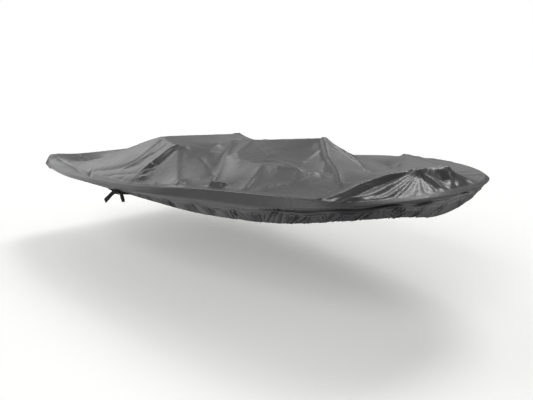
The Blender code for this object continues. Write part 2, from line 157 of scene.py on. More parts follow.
# Finer creases, in millimetres: the points of each line, its widths and its heights at both ends. Then how
# crisp its crest is (2 is round, 1 is sharp), and how far it leans: above 0 the side on the left of the
# line is the gentler one.
CREASES = (
    # the long folds that the bow's cleat draws across the corner
    (((1221, -94), (1163, -202), (1131, -291), (1127, -441), (1115, -530)), (14, 20), (10, 12), 1.2, -0.7),
    (((1212, -110), (1183, -200), (1160, -300), (1158, -411), (1165, -560)),
     (14, 19), (-12, -26), 1.8, 0.3),
    (((1235, -100), (1224, -152), (1230, -239), (1238, -324), (1230, -409), (1195, -513)),
     (10, 22), (6, 11), 1.2, -0.4),
    (((1240, -120), (1250, -250), (1262, -360)), (10, 18), (-3, -6), 1.6, 0),
    (((1245, -92), (1250, -132), (1258, -202), (1285, -307), (1290, -387), (1273, -438)),
     (9, 18), (5, 8), 1.2, -0.4),
    (((1250, -104), (1274, -209), (1303, -317), (1309, -361)), (8, 14), (-4, -7), 1.4, 0),
    (((1252, -101), (1287, -194), (1314, -274), (1327, -340)), (8, 14), (4, 6), 1.3, -0.3),
    # the fan
    (((1258, -102), (1295, -171), (1350, -267)), (6, 12), (-2, -3), 1.2, 0.3),
    (((1262, -102), (1313, -168), (1368, -240)), (7, 13), (3, 3), 1.3, -0.4),
    (((1264, -102), (1331, -158), (1383, -203)), (6, 12), (-3, -4), 1.4, 0),
    (((1265, -98), (1330, -122), (1388, -155)), (7, 14), (5, 5), 1.3, -0.4),
    (((1267, -93), (1303, -93), (1374, -115)), (8, 14), (-5, -6), 1.4, 0),
    (((1279, -74), (1312, -70), (1353, -71), (1388, -79)), (8, 12), (8, 6), 1.2, -0.4),
    (((1285, -50), (1330, -45), (1385, -50)), (10, 16), (-6, -6), 1.5, 0),
    (((1250, -90), (1246, -7), (1263, 65)), (14, 14), (8, 6), 1.3, 0.4),
    # the crumpled knot of cloth beside the cleat
    (((1283, -2), (1293, 27)), (10, 10), (6, 5), 1.4, 0),
    (((1312, -5), (1328, 15)), (16, 14), (-15, -10), 1.6, 0),
    (((1303, 42), (1322, 24)), (9, 9), (5, 4), 1.3, 0.3),
    (((1333, 9), (1368, -14), (1392, -20)), (9, 10), (7, 6), 1.2, 0.3),
    (((1320, 50), (1346, 35), (1385, -2)), (8, 10), (-7, -6), 1.3, 0),
    (((1294, 60), (1320, 79), (1352, 94), (1390, 90)), (8, 12), (10, 9), 1.2, -0.4),
    (((1300, 85), (1330, 112), (1370, 125)), (10, 14), (-8, -6), 1.5, 0),
    (((1300, 100), (1330, 150), (1370, 170)), (10, 14), (7, 6), 1.3, -0.3),
    (((1268, 90), (1225, 220), (1195, 370)), (10, 16), (5, 4), 1.4, 0),
    (((1275, 90), (1270, 230), (1265, 377)), (10, 16), (4, 4), 1.4, 0),
    # the pleat from the aft end of the fore seat down to the gunwale, and the box fold at its foot
    (((-55, -43), (17, -120), (88, -197), (182, -298), (282, -400), (385, -508), (470, -600)),
     (9, 9), (16, 9), 1.0, 0.6),
    (((-90, -40), (-15, -125), (55, -205), (150, -310), (250, -415), (340, -505)),
     (26, 26), (-6, -8), 1.8, -0.3),
    (((513, -634), (551, -628), (585, -608)), (8, 8), (7, 6), 1.2, 0),
    (((510, -630), (520, -665)), (7, 8), (6, 4), 1.2, 0),
    (((545, -652), (590, -640)), (10, 12), (-6, -5), 1.4, 0),
    # the fore seat
    (((134, -62), (300, -150), (477, -247)), (12, 20), (4, 4), 1.6, 0.3),
    (((527, 71), (730, -102), (891, -214), (1028, -334)), (16, 22), (10, 8), 1.2, 0.5),
    (((560, 20), (740, -150), (890, -260)), (30, 40), (-5, -4), 1.8, 0),
    (((700, 58), (830, 20), (1020, -95)), (7, 8), (8, 6), 1.2, 0),
    (((720, 120), (850, 75), (1000, 0)), (30, 30), (-12, -8), 1.8, 0),
    (((620, -60), (700, -240)), (10, 16), (3, 3), 1.5, 0),
    (((760, -140), (900, -330)), (12, 18), (-4, -3), 1.5, 0),
    (((388, -387), (499, -373), (585, -310), (788, -342)), (14, 14), (6, 4), 1.4, -0.4),
    (((10, -111), (140, -260), (457, -431)), (16, 20), (4, 4), 1.6, 0),
    (((605, -420), (684, -546), (722, -605)), (14, 16), (4, 5), 1.3, -0.4),
    (((810, -501), (795, -574)), (14, 16), (3, 3), 1.3, 0),
    # the front of the aft seat, with its pleat and the wedges at its corner
    (((-86, -415), (13, -492), (140, -580), (273, -668)), (34, 40), (5, 7), 1.6, -0.5),
    (((286, -676), (283, -645)), (10, 10), (-9, -7), 1.3, 0),
    (((310, -640), (355, -668)), (9, 10), (6, 5), 1.2, 0),
    (((-65, -388), (7, -425)), (20, 22), (4, 3), 1.6, 0),
    (((79, -391), (195, -429), (340, -500)), (10, 12), (-3, -3), 1.4, 0),
    (((-114, -418), (-134, -455), (-117, -516), (-107, -585)), (12, 14), (7, 10), 1.2, -0.5),
    (((-90, -450), (-71, -533), (-85, -598)), (15, 18), (-7, -9), 1.6, 0),
    (((-118, -577), (-72, -556)), (9, 8), (-8, -4), 1.2, 0),
    (((-80, -560), (-112, -634)), (8, 9), (6, 9), 1.1, -0.3),
    (((-50, -600), (-75, -656)), (12, 12), (-8, -7), 1.4, 0),
    (((-70, -612), (10, -650), (90, -680)), (10, 12), (5, 4), 1.2, 0),
    # the two soft furrows down the aft slope, and the rolls between them
    (((-345, -380), (-333, -461), (-325, -523), (-345, -578), (-403, -610), (-507, -635), (-620, -656)),
     (16, 20), (-9, -7), 1.6, 0),
    (((-306, -405), (-284, -478), (-288, -541), (-308, -582), (-330, -607)), (18, 20), (6, 6), 1.5, 0),
    (((-226, -415), (-231, -478), (-253, -523), (-245, -573), (-276, -594), (-319, -615)),
     (12, 16), (-5, -6), 1.5, 0),
    (((-170, -420), (-175, -520), (-180, -600)), (18, 22), (4, 5), 1.6, 0),
    # the thin creases across the flat gunwale
    (((-60, -745), (-100, -695), (-60, -683), (-6, -672)), (7, 7), (-5, -5), 1.3, 0.3),
    (((-388, -679), (-298, -664), (-158, -649)), (9, 9), (-3, -3), 1.5, 0),
    (((-669, -657), (-600, -700), (-510, -745)), (8, 8), (-7, -6), 1.3, 0.3),
    # the stern
    (((-1340, -600), (-1200, -610)), (10, 14), (-4, -3), 1.4, 0),
    (((-1299, -426), (-1060, -400), (-820, -410)), (16, 22), (-6, -5), 1.5, 0),
    (((-1191, -616), (-942, -648), (-727, -704)), (12, 14), (-4, -4), 1.4, 0),
    # the port side
    (((739, 633), (925, 521)), (12, 18), (-5, -4), 1.4, 0),
    (((680, 600), (880, 300), (1107, -40)), (10, 12), (4, 5), 1.3, 0),
    (((700, 590), (1000, 440)), (12, 20), (5, 3), 1.5, 0),
    (((520, 120), (500, 340), (420, 560)), (14, 20), (6, 6), 1.4, 0),
    (((150, 0), (160, 320), (100, 620)), (14, 22), (6, 6), 1.4, 0),
    (((-400, 250), (-440, 440), (-420, 640)), (14, 20), (7, 6), 1.4, 0),
    (((-380, 250), (-290, 440), (-160, 660)), (12, 20), (6, 7), 1.4, 0),
    (((-430, 240), (-640, 420), (-900, 560)), (14, 24), (6, 5), 1.4, 0),
)


def cubic(a, b, c, d, f):
    """Catmull and Rom's cubic: from b to c as f goes from 0 to 1, with a before them and d after."""
    return (2 * b + (c - a) * f + (2 * a - 5 * b + 4 * c - d) * f**2 + (3 * (b - c) + d - a) * f**3) / 2


def smooth_path(rows, steps):
    """Points on a smooth curve through the rows, read evenly."""
    rows = np.array(rows, float)
    ends = np.concatenate([[2 * rows[0] - rows[1]], rows, [2 * rows[-1] - rows[-2]]])
    t = np.linspace(0, len(rows) - 1, steps + 1)
    i = np.minimum(np.floor(t).astype(int), len(rows) - 2)
    f = (t - i)[:, None]
    return cubic(*(ends[i + k] for k in range(4)), f)


def rim(t):
    """The rim's values at the places t round it: a smooth curve through RIM's rows and their mirror."""
    rows = np.array([row[1:] for row in RIM]) / RIM_UNITS
    rows[:, 1] *= -1
    port = rows[-2:0:-1].copy()
    port[:, 1] *= -1
    loop = np.concatenate([rows, port])
    i = np.floor(t).astype(int)
    f = (t - i)[:, None]
    curve = cubic(*(loop[(i + k) % len(loop)] for k in (-1, 0, 1, 2)), f)
    return dict(zip(RIM_COLUMNS, curve.T))


def places(start, end, shares):
    """Places round the rim at the given shares of its length from start to end."""
    t = np.linspace(start, end, RIM_STEPS)
    at = rim(t)
    along = np.concatenate([[0], np.cumsum(np.hypot(np.diff(at["x"]), np.diff(at["half"])))])
    return np.interp(shares * along[-1], along, t)


def outward(t):
    """Unit vectors square to the rim, pointing out of the boat."""
    ahead, behind = rim(t + BESIDE), rim(t - BESIDE)
    along = np.stack([ahead["x"] - behind["x"], ahead["half"] - behind["half"]], axis=1)
    along /= np.linalg.norm(along, axis=1)[:, None]
    return np.stack([along[:, 1], -along[:, 0]], axis=1)


def shoulder(t):
    """The top edge of the gunwale band, where the top cloth ends."""
    at = rim(t)
    plan = np.stack([at["x"], at["half"]], axis=1) - outward(t) * INSET
    return np.column_stack([plan, at["lip"] + at["band"] * (1 - at["round"])])


def top_plan(u, v):
    """The top's points, [along, across], at the shares u of the sides and v of the ends: a Coons patch
    between the shoulders of the starboard side, the bow, the port side and the transom."""
    first, last = CORNERS
    starboard = shoulder(places(first, last, u))[:, None]
    port = shoulder(places(TURN - first, TURN - last, u))[:, None]
    transom = shoulder(places(first, -first, v))[None]
    bow = shoulder(places(last, TURN - last, v))[None]
    u, v = u[:, None, None], v[None, :, None]
    sides = (1 - v) * starboard + v * port
    ends = (1 - u) * transom + u * bow
    corners = (1 - u) * ((1 - v) * starboard[0] + v * port[0]) + u * ((1 - v) * starboard[-1] + v * port[-1])
    return sides + ends - corners


def along_run(x, y, run):
    """For each point, how far along a run its nearest place is, from 0 to 1, and how far away that is."""
    x0, y0, x1, y1 = run
    dx, dy = x1 - x0, y1 - y0
    share = np.clip(((x - x0) * dx + (y - y0) * dy) / (dx * dx + dy * dy), 0, 1)
    return share, np.hypot(x - x0 - share * dx, y - y0 - share * dy)


def gunwale_hold(points):
    """Where the gunwale holds the cloth: how firmly, and at which height, which rounds off towards its
    edge."""
    first, last = CORNERS
    side, end = (np.arange(n) / n for n in EDGE_STEPS)
    bounds = ((first, last, side), (last, TURN - last, end), (TURN - last, TURN - first, side))
    t = np.concatenate([places(a, b, s) for a, b, s in bounds] + [places(-first, first, end)])
    edge, at = shoulder(t), rim(t)
    flat = points.reshape(-1, 3)
    near = np.hypot(flat[:, :1] - edge[:, 0], flat[:, 1:2] - edge[:, 1]).argmin(axis=1)
    # The edge near its nearest place is taken as straight, between the places before and after it.
    step = np.roll(edge, -1, axis=0) - np.roll(edge, 1, axis=0)
    off, along = (flat - edge[near])[:, :2], step[near, :2]
    share = np.clip((off * along).sum(axis=1) / (along**2).sum(axis=1), -0.5, 0.5)
    deck = at["deck"][near]
    deep = np.linalg.norm(off - share[:, None] * along, axis=1) / deck
    hold = np.where(deep < 1, PULL, 0)
    fall = (at["round"] * at["band"])[near]
    lift = edge[near, 2] + share * step[near, 2] + fall * (1 - (1 - np.minimum(deep, 1)) ** 2)
    return hold.reshape(points.shape[:2]), lift.reshape(points.shape[:2])


def draw_tight(points):
    """Heights of a cloth held at its edge, on the gunwale and on RUNS, each other point level with its four
    neighbours less a little sag."""
    x, y = points[..., 0], points[..., 1]
    hold, lift = gunwale_hold(points)
    lift = hold * lift
    for _, *run in RUNS:
        x0, y0, z0, x1, y1, z1, radius = np.array(run) / 1000
        share, away = along_run(x, y, (x0, y0, x1, y1))
        firm = PULL * np.exp(-((away / radius) ** 2))
        hold = hold + firm
        lift = lift + firm * (z0 + share * (z1 - z0))
    z = points[..., 2].copy()
    lift, firm = lift[1:-1, 1:-1] / (1 + hold[1:-1, 1:-1]), 1 / (1 + hold[1:-1, 1:-1])
    for _ in range(ROUNDS):
        mean = (z[:-2, 1:-1] + z[2:, 1:-1] + z[1:-1, :-2] + z[1:-1, 2:]) / 4 - SAG
        z[1:-1, 1:-1] = mean * firm + lift
    return z


def reading_weights(shares, cells):
    """Rows of weights that read a smooth curve, through evenly spaced values, at the shares: the weights of
    cubic's four values, which add up to one."""
    place = shares * cells
    i = np.clip(np.floor(place).astype(int), 0, cells - 1)
    f = place - i
    cubics = (-f + 2 * f**2 - f**3, 2 - 5 * f**2 + 3 * f**3, f + 4 * f**2 - 3 * f**3, f**3 - f**2)
    weights = np.zeros((len(shares), cells + 1))
    for k, cubic in zip((-1, 0, 1, 2), cubics):
        np.add.at(weights, (np.arange(len(shares)), np.clip(i + k, 0, cells)), cubic / 2)
    return weights


def folds(x, y):
    """How far FOLDS lift or lower the top: each is a soft hump across its run, fading at its ends."""
    out = np.zeros_like(x)
    for _, *fold in FOLDS:
        x0, y0, x1, y1, width0, width1, height0, height1 = np.array(fold) / 1000
        share, away = along_run(x, y, (x0, y0, x1, y1))
        width = width0 + share * (width1 - width0)
        out += (height0 + share * (height1 - height0)) * np.exp(-((away / width) ** 2))
    return out


def beside_line(x, y, points):
    """For each point, how far along a line of points its nearest place is, from 0 to 1, and how far it is
    to the left of the line there, or to the right, below 0."""
    sizes = [math.dist(a, b) for a, b in zip(points, points[1:])]
    share, across = np.zeros_like(x), np.full_like(x, 9.0)
    start = 0.0
    for (x0, y0), (x1, y1), size in zip(points, points[1:], sizes):
        here, away = along_run(x, y, (x0, y0, x1, y1))
        left = (y - y0) * (x1 - x0) - (x - x0) * (y1 - y0) >= 0
        nearer = away < abs(across)
        share = np.where(nearer, (start + here * size) / sum(sizes), share)
        across = np.where(nearer, np.where(left, away, -away), across)
        start += size
    return share, across


def creases(x, y):
    """How far CREASES lift or lower the top: to each side of its line a crease falls away as
    exp(-away^crisp), where away is counted in widths, and the width is greater on the side it leans to."""
    out = np.zeros_like(x)
    for points, widths, heights, crisp, lean in CREASES:
        line, widths, heights = (np.array(values) / 1000 for values in (points, widths, heights))
        if len(points) > 2:
            line = smooth_path(line, STEPS_A_POINT * (len(points) - 1))
        line = line.tolist()
        reach = REACH * max(widths) * (1 + abs(lean))
        low, high = np.min(line, axis=0) - reach, np.max(line, axis=0) + reach
        near = (x > low[0]) & (x < high[0]) & (y > low[1]) & (y < high[1])
        share, across = beside_line(x[near], y[near], line)
        width = widths[0] + share * (widths[1] - widths[0])
        width = width * np.where(across > 0, 1 + lean, 1 - lean)
        height = heights[0] + share * (heights[1] - heights[0])
        out[near] += height * np.exp(-((abs(across) / width) ** crisp))
    return out


def ripple(x, y, seed, lengths, power):
    """Crisp little ridges that cross: for each wave length, 1 - |sin| of a wave in its own direction, bent
    by a slower wave and raised to a power, so that ridges are thin and hollows wide. Each set comes and goes
    over the cloth."""
    chance = np.random.default_rng(seed)
    out = np.zeros_like(x)
    for length in lengths:
        turn, lag, bend = chance.uniform(0, math.pi), chance.uniform(0, 6.3), chance.uniform(0, 6.3, 4)
        a = x * math.cos(turn) + y * math.sin(turn)
        b = y * math.cos(turn) - x * math.sin(turn)
        slow = np.sin(b * 3.1 / length + bend[0])
        slow = slow + 0.7 * np.sin(a * 1.7 / length + b * 1.3 / length + bend[1])
        here = 0.5 + 0.5 * np.sin(a * 2.1 / length + bend[2]) * np.sin(b * 1.1 / length + bend[3])
        out += here * length * (1 - abs(np.sin(a * math.pi / length + slow + lag))) ** power
    return out


def closed_noise(share, count, waves, seed):
    """Even noise round a closed ring: a sum of waves with whole numbers of turns near count, each with its
    own strength and lag, of about unit height."""
    chance = np.random.default_rng(seed)
    turns = np.round(count * chance.uniform(0.6, 1.5, waves))
    strength = chance.uniform(0.5, 1, waves)
    lag = chance.uniform(0, 2 * math.pi, waves)
    out = (strength * np.cos(2 * math.pi * turns * share[:, None] + lag)).sum(axis=1)
    return out / math.sqrt(waves * 0.3)


def mesh_of(name, points, quads, uv, flat=None):
    """A mesh from whole arrays: points, four corners a face, a UV point for each corner, and which faces are
    shaded flat."""
    mesh = bpy.data.meshes.new(name)
    mesh.vertices.add(len(points))
    mesh.vertices.foreach_set("co", points.astype(np.float32).ravel())
    mesh.loops.add(quads.size)
    mesh.loops.foreach_set("vertex_index", quads.astype(np.int32).ravel())
    mesh.polygons.add(len(quads))
    mesh.polygons.foreach_set("loop_start", np.arange(0, quads.size, 4, dtype=np.int32))
    mesh.uv_layers.new(name="cloth")
    mesh.uv_layers["cloth"].data.foreach_set("uv", uv.astype(np.float32).ravel())
    mesh.update(calc_edges=True)
    mesh.shade_smooth()
    if flat is not None:
        mesh.polygons.foreach_set("use_smooth", ~flat)
    return mesh


def smooth_normals(points, quads):
    """The unit normal at each point: the sum of the area normals of the faces round it, made one long."""
    corner = points[quads]
    face = np.cross(corner[:, 2] - corner[:, 0], corner[:, 3] - corner[:, 1])
    normal = np.zeros_like(points)
    for k in range(4):
        np.add.at(normal, quads[:, k], face)
    return normal / np.linalg.norm(normal, axis=1)[:, None]


def sheet_mesh(name, points, quads, uv, thickness, normal=None):
    """A sheet with its thickness: its outer face, the same face moved inwards along its smooth normals and
    turned over, and a narrow flat face along each edge that only one face has. A normal given for each
    point is kept for the shading, so that a sheet meets the next one smoothly."""
    given = normal is not None
    if not given:
        normal = smooth_normals(points, quads)
    count = len(points)
    starts, ends = quads.ravel(), np.roll(quads, -1, axis=1).ravel()
    alone = ~np.isin(starts * count + ends, ends * count + starts)
    a, b = starts[alone], ends[alone]
    edge = np.stack([b, a, a + count, b + count], axis=1)
    edge_uv = np.stack([np.roll(uv, -1, axis=1).reshape(-1, 2)[alone], uv.reshape(-1, 2)[alone]], axis=1)
    edge_uv = np.concatenate([edge_uv, edge_uv[:, ::-1]], axis=1)
    both = np.concatenate([points, points - normal * thickness])
    faces = np.concatenate([quads, quads[:, ::-1] + count, edge])
    all_uv = np.concatenate([uv, uv[:, ::-1], edge_uv])
    mesh = mesh_of(name, both, faces, all_uv, np.arange(len(faces)) >= 2 * len(quads))
    if given:
        mesh.normals_split_custom_set_from_vertices(np.concatenate([normal, -normal]))
    return mesh


def as_piece(name, mesh, finish, node):
    """Links a mesh as a piece of the cover, gives it its finish, and hides the solid it stands for."""
    piece = bpy.data.objects.new(name, mesh)
    mesh.materials.append(finish)
    bpy.context.scene.collection.objects.link(piece)
    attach(piece, "root")
    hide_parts(node)
    return piece


# ----------------------------------------------------------
# The top cloth, in an aft and a fore panel. They meet without a step, with one set of normals for both.

SEAM = 0.53  # share of the length at which they meet
PANEL_CELLS = 212  # cells along each panel
TOP_CROSS = 230  # cells across both
LEAN = 0.42  # how much closer the lines of cells stand towards the starboard side
TOP_SIZE = (2.7, 1.5)  # about how long and how wide the top is
SEWN_FLAT = 0.022  # how far in from its edge the seam keeps the top from folding
RIPPLES = (0.17, 0.11, 0.13, 0.075, 0.09)  # wave lengths of the ripple
RIPPLE_POWER = 5  # how thin its ridges are
RIPPLE_DEPTH = 0.010  # its height, as a share of each wave length


def top_surface(depth):
    """The whole top, [along, across]: drawn tight on an even grid, read smoothly on a finer one, then folded
    and creased."""
    even_u, even_v = np.linspace(0, 1, SIDE_CELLS + 1), np.linspace(0, 1, CROSS_CELLS + 1)
    tight = draw_tight(top_plan(even_u, even_v))
    halves = ((0, SEAM), (SEAM, 1))
    u = np.unique(np.concatenate([np.linspace(a, b, PANEL_CELLS + 1) for a, b in halves]))
    v = np.linspace(0, 1, TOP_CROSS + 1)
    v = v + LEAN * (v * v - v)
    points = top_plan(u, v)
    z = reading_weights(u, SIDE_CELLS) @ tight @ reading_weights(v, CROSS_CELLS).T
    x, y = points[..., 0], points[..., 1]
    length, width = TOP_SIZE
    edge = np.minimum(np.minimum(u, 1 - u)[:, None] * length, np.minimum(v, 1 - v)[None] * width)
    free = 1 - np.exp(-((edge / SEWN_FLAT) ** 2))
    small = ripple(x, y, 7, RIPPLES, RIPPLE_POWER) * RIPPLE_DEPTH
    points[..., 2] = z + free * (folds(x, y) + depth * (creases(x, y) + small))
    return points


def grid_quads(rows, cols):
    """The faces of a grid of points that is rows by cols."""
    index = np.arange(rows * cols).reshape(rows, cols)
    corners = (index[:-1, :-1], index[1:, :-1], index[1:, 1:], index[:-1, 1:])
    return np.stack(corners, axis=-1).reshape(-1, 4)


def ring_quads(rows, cols):
    """The faces of a grid of points whose rows are closed rings."""
    index = np.arange(rows * cols).reshape(rows, cols)
    after = np.roll(index, -1, axis=1)
    return np.stack([index[:-1], index[1:], after[1:], after[:-1]], axis=-1).reshape(-1, 4)


def top_mesh(name, points, normal, thickness):
    """Rows of the top as a sheet, with its plan as its UV map."""
    quads = grid_quads(*points.shape[:2])
    flat = points.reshape(-1, 3)
    return sheet_mesh(name, flat, quads, flat[quads][..., :2], thickness, normal.reshape(-1, 3))


# ----------------------------------------------------------
# The skirt: band, lip and gathered hem.

SKIRT_COLUMNS = 2340
# Shares of the way from the shoulder to the lip, up to 1, and on from the lip to the hem, 1 to 2.
BAND_WAYS = (0.03, 0.08, 0.35, 0.65, 0.93)
FURROWS = (0.22, 0.42)  # where the two furrows run, as shares of the way from the lip to the hem
HEM_WAYS = (1.0, 1.05, 1.13, 1.19, 1.22, 1.27, 1.34, 1.39, 1.42, 1.46, 1.53, 1.61, 1.7, 1.8, 1.9, 2.0)
LIP_ROW = len(BAND_WAYS)
RUFFLES = 150  # waves of the gathers round the hem, each with two grooves, about 26 mm apart
FINER = 2.3  # times as many waves in the small gathers between them
UNEVEN = (40, 26, 33, 55)  # waves round the boat of the ruffles' swell, the wander, and each furrow's depth
WANDER = 0.05  # how far the furrows wander up and down, as a share of the way from the lip to the hem
# Places along the boat, as x and how wide the change is there:
FORE = (0.0, 0.12)  # where the furrows begin to show
BOW = (0.88, 0.05)  # where the skirt turns in under the bow
LOOSE = (0.95, 0.06)  # where the hem is bunched, at the shoulder of the boat
MIDDLE = 0.15  # half width of the boat under which the ruffles slant less, at the bow and the transom
BOW_SLANT = 2.6  # how far their slant turns back towards the bow, where 1 is their slant on the sides
FURROW_DEPTHS = ((0.0010, 0.020), (0.0035, 0.004))  # of each furrow, along the side and more under the bow
FURROW_WIDTHS = (0.075, 0.035)  # of each furrow, as shares of the way from the lip to the hem
RUFFLE_START = 0.14  # share of that way over which the ruffles come in
CRUMPLE = 0.002  # how far the bunched hem is crumpled


def skirt_surface(depth, gathering):
    """The skirt, [down, round]. From the shoulder it goes down flat to the lip, then in under it to the hem.
    Two furrows wander along it below the lip, deepest at the bow. Below the second one the elastic gathers it
    into ruffles: flat tongues, |tanh(wave)|, with narrow grooves between them where the wave passes nought.
    They slant forwards on the sides and back under the bow."""
    share = np.arange(SKIRT_COLUMNS) / SKIRT_COLUMNS
    t = places(0, TURN, share)
    at, square = rim(t), outward(t)
    fore, bow = (1 / (1 + np.exp(-(at["x"] - x) / wide)) for x, wide in (FORE, BOW))
    loose = np.exp(-(((at["x"] - LOOSE[0]) / LOOSE[1]) ** 2))
    slant = np.tanh(at["half"] / MIDDLE) * (1.0 - BOW_SLANT * bow) + 0.35 * closed_noise(share, 50, 20, 8)
    swelling, wander, first, second = (closed_noise(share, n, 20, 11 + n) for n in UNEVEN)
    swell = 0.65 + 0.35 * np.tanh(swelling)
    deeps = (np.clip(0.9 + 0.3 * first, 0.3, 2), np.clip(0.8 + 0.5 * second, 0, 2))
    plan = np.stack([at["x"], at["half"]], axis=1)
    length = np.linalg.norm(np.roll(plan, -1, axis=0) - plan, axis=1).sum()
    rows = []
    for way in BAND_WAYS + HEM_WAYS:
        down, level = min(way, 1), max(way - 1, 0)
        under = level + WANDER * wander * math.sin(math.pi * level)
        out = -INSET * (1 - down) + BULGE * math.sin(math.pi * down) - at["tuck"] * under**1.1
        z = at["lip"] + at["band"] * (1 - at["round"]) * (1 - down) - at["drop"] * under
        # the furrows
        for furrow, (side, more), wide, deep in zip(FURROWS, FURROW_DEPTHS, FURROW_WIDTHS, deeps):
            near = math.exp(-(((level - furrow) / wide) ** 2))
            out = out - depth * (side * fore + more * bow) * deep * near
        # the ruffles
        moved = share + slant * (under - FURROWS[1]) * at["drop"] / length
        wave = closed_noise(moved, RUFFLES, 60, 3)
        small = closed_noise(moved, FINER * RUFFLES, 50, 4)
        tongue = abs(np.tanh(1.5 * wave)) - 0.6 + 0.10 * small
        start = min(max((level - FURROWS[1]) / RUFFLE_START, 0), 1)
        ruffle = gathering * at["gather"] * swell * tongue * start * (1.0 + 0.3 * level)
        crumple = gathering * CRUMPLE * loose * min(8 * level, 1) * (small + 0.5 * wave)
        out = out + ruffle + crumple
        z = z + 0.5 * ruffle * level**2
        rows.append(np.column_stack([plan + square * out[:, None], z]))
    return np.stack(rows), share


def skirt_mesh(depth, gathering, thickness):
    """The skirt as a sheet. Its UV map runs round the boat and up from the hem, in metres."""
    points, share = skirt_surface(depth, gathering)
    rows, cols = points.shape[:2]
    steps = np.linalg.norm(np.diff(points, axis=0), axis=2)
    up = np.concatenate([np.cumsum(steps[::-1], axis=0)[::-1], np.zeros((1, cols))])
    lip = points[LIP_ROW]
    length = np.linalg.norm(np.roll(lip, -1, axis=0) - lip, axis=1).sum()
    left, right = share * length, (share + 1 / cols) * length
    left, right = (np.broadcast_to(a, (rows - 1, cols)) for a in (left, right))
    far = np.roll(up, -1, axis=1)
    uv = np.stack([left, up[:-1], left, up[1:], right, far[1:], right, far[:-1]], axis=-1)
    points, quads = points.reshape(-1, 3), ring_quads(rows, cols)
    return sheet_mesh("cover_skirt", points, quads, uv.reshape(-1, 4, 2), thickness)


# ----------------------------------------------------------
# The tie.

STRAP_STEPS = 36
STRAP_HALF = 0.0125  # half the width of the webbing
# One way round the section of the webbing, as shares of half its width and half its thickness.
STRAP_CORNERS = (
    (-1, 0.35), (-0.94, 1), (0.94, 1), (1, 0.35), (1, -0.35), (0.94, -1), (-0.94, -1), (-1, -0.35)
)
STRAP_CAP = ((0, 1, 6, 7), (1, 2, 5, 6), (2, 3, 4, 5))  # the faces that close an end, by those corners
# Each strap: x, z, width and y in millimetres and turn in degrees, at points along its path.
STRAPS = {
    "tie_tail_aft": (
        (-150, -24, 18, -770, 0), (-178, -36, 24, -774, -8), (-205, -53, 25, -776.5, -4),
        (-230, -70, 25, -776.5, 2), (-258, -86, 25, -775, 8), (-284, -101, 25, -773, 6),
    ),
    "tie_tail_fore": (
        (-118, -24, 18, -770, 0), (-96, -31, 21, -774, 16), (-83, -42, 24, -775.5, 24),
        (-77, -54, 25, -775, 18), (-73, -68, 25, -774, 10),
    ),
    "tie_end_aft": (
        (-262, -26, 5, -764, 0), (-225, -26, 11, -766, 10), (-190, -25.5, 15, -768, 0),
        (-150, -24, 18, -770, 0),
    ),
    "tie_end_fore": (
        (-120, -23.5, 18, -770, 0), (-85, -23, 15, -769, 0), (-55, -21, 11, -767, 10),
        (-18, -19, 4, -765, 0),
    ),
    "tie_knot_under": (
        (-171, -25, 14, -769, 0), (-155, -24.5, 20, -773.5, 0), (-135, -24, 21, -775, 0),
        (-115, -23.5, 19, -773.5, 0), (-101, -23, 13, -769, 0),
    ),
    "tie_knot_turn": (
        (-152, -13.5, 16, -770, 0), (-149, -16.5, 18, -777, 0), (-144, -24.5, 19, -778.5, 0),
        (-139, -32.5, 18, -777, 0), (-137, -35.5, 16, -770, 0),
    ),
    "tie_knot_turn_fore": (
        (-127, -35.5, 14, -770, 0), (-124, -32.5, 16, -776.5, 0), (-120, -24.5, 17, -778, 0),
        (-116, -17, 16, -776.5, 0), (-114, -14, 14, -770, 0),
    ),
}


def strap_mesh(name, rows, thickness):
    """Flat webbing along a path, turned about it. Its section is a flat strip with rounded edges of 8
    corners, carried along the path and closed at both ends."""
    rows = np.array(rows, float) / (1000, 1000, 1000, 1000, 1)
    x, z, width, y, turn = smooth_path(rows, STRAP_STEPS).T
    middle = np.stack([x, y, z], axis=1)
    along = np.gradient(middle, axis=0)
    along /= np.linalg.norm(along, axis=1)[:, None]
    face = np.cross(along, np.cross(np.array([0.0, -1.0, 0.0]), along))
    face /= np.linalg.norm(face, axis=1)[:, None]
    side = np.cross(along, face)
    c, s = np.cos(np.radians(turn))[:, None], np.sin(np.radians(turn))[:, None]
    side, face = c * side + s * face, c * face - s * side
    half = thickness / 2
    rings = [middle + side * (p * width / 2)[:, None] + face * (q * half) for p, q in STRAP_CORNERS]
    rings = np.stack(rings, axis=1)
    count, n = len(rings), len(STRAP_CORNERS)
    caps = np.array(STRAP_CAP)
    quads = np.concatenate([ring_quads(count, n), caps, caps[:, ::-1] + (count - 1) * n])
    far = np.concatenate([[0], np.cumsum(np.linalg.norm(np.diff(middle, axis=0), axis=1))])
    across = np.array([p for p, _ in STRAP_CORNERS]) * STRAP_HALF
    flat = np.stack([np.repeat(far, n), np.tile(across, count)], axis=1)
    return mesh_of(name, rings.reshape(-1, 3), quads, flat[quads])


# ----------------------------------------------------------
# Finishes.


def add(tree, kind, inputs=None, **settings):
    """Adds a shader node with its settings, links or sets its inputs by name or number, and gives its
    outputs. Map Range's numbers: 0 value, 1 and 2 the range it comes from, 3 and 4 the one it goes to."""
    made = tree.nodes.new("ShaderNode" + kind)
    for key, value in settings.items():
        setattr(made, key, value)
    for key, value in (inputs or {}).items():
        if isinstance(value, bpy.types.NodeSocket):
            tree.links.new(value, made.inputs[key])
        else:
            made.inputs[key].default_value = value
    return made.outputs


def new_finish(name):
    """An empty material and its node tree."""
    made = bpy.data.materials.new(name)
    made.use_nodes = True
    made.node_tree.nodes.clear()
    return made, made.node_tree


def shades(colour, *factors):
    """A colour made darker or lighter by each factor."""
    return [tuple(c * f for c in colour[:3]) + (1.0,) for f in factors]


